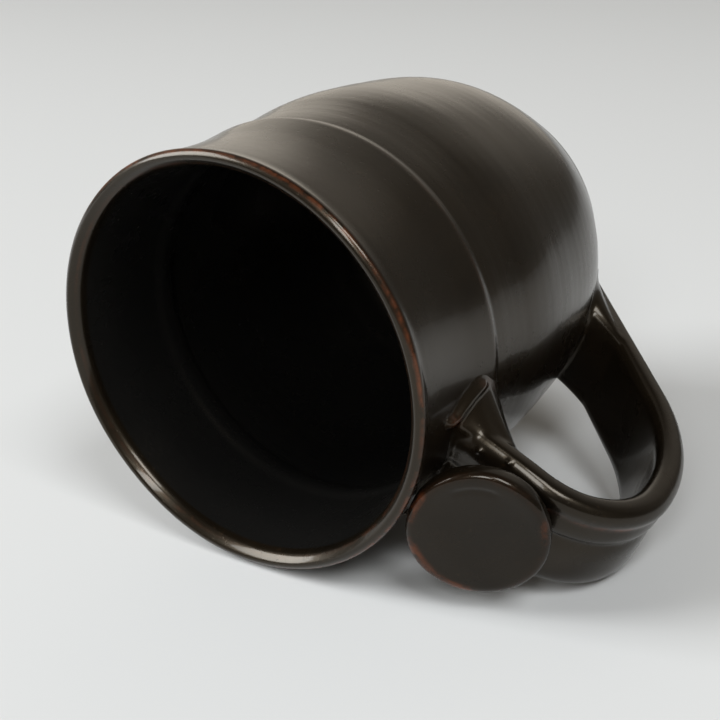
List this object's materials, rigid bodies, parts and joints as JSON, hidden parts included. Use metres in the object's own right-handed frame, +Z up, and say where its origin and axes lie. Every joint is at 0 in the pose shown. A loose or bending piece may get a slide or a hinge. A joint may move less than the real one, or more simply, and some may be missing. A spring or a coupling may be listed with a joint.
{
  "type": "mug",
  "caption": "Hand-thrown ceramic mug with a flared neck over a rounded belly, a ribbed strap handle and a dished thumb rest on top of the handle.",
  "frame": {"origin": "centre of the flat foot the mug stands on", "axes": "+Z up along the mug's axis, -X towards the handle, +Y across, so the handle lies in the XZ plane"},
  "size_m": [0.1222, 0.0868, 0.1],
  "materials": {
    "body_glaze": "satin brown-black glaze with a metallic sheen",
    "handle_glaze": "satin brown-black glaze, breaking to rust brown on sharp edges"
  },
  "bodies": {
    "root": {"thrown_body": "body_glaze", "pulled_handle": "handle_glaze", "thumb_rest_disc": "handle_glaze", "thumb_rest_skirt": "handle_glaze", "upper_joint_flare": "handle_glaze", "lower_joint_flare": "handle_glaze"}
  },
  "joints": []
}
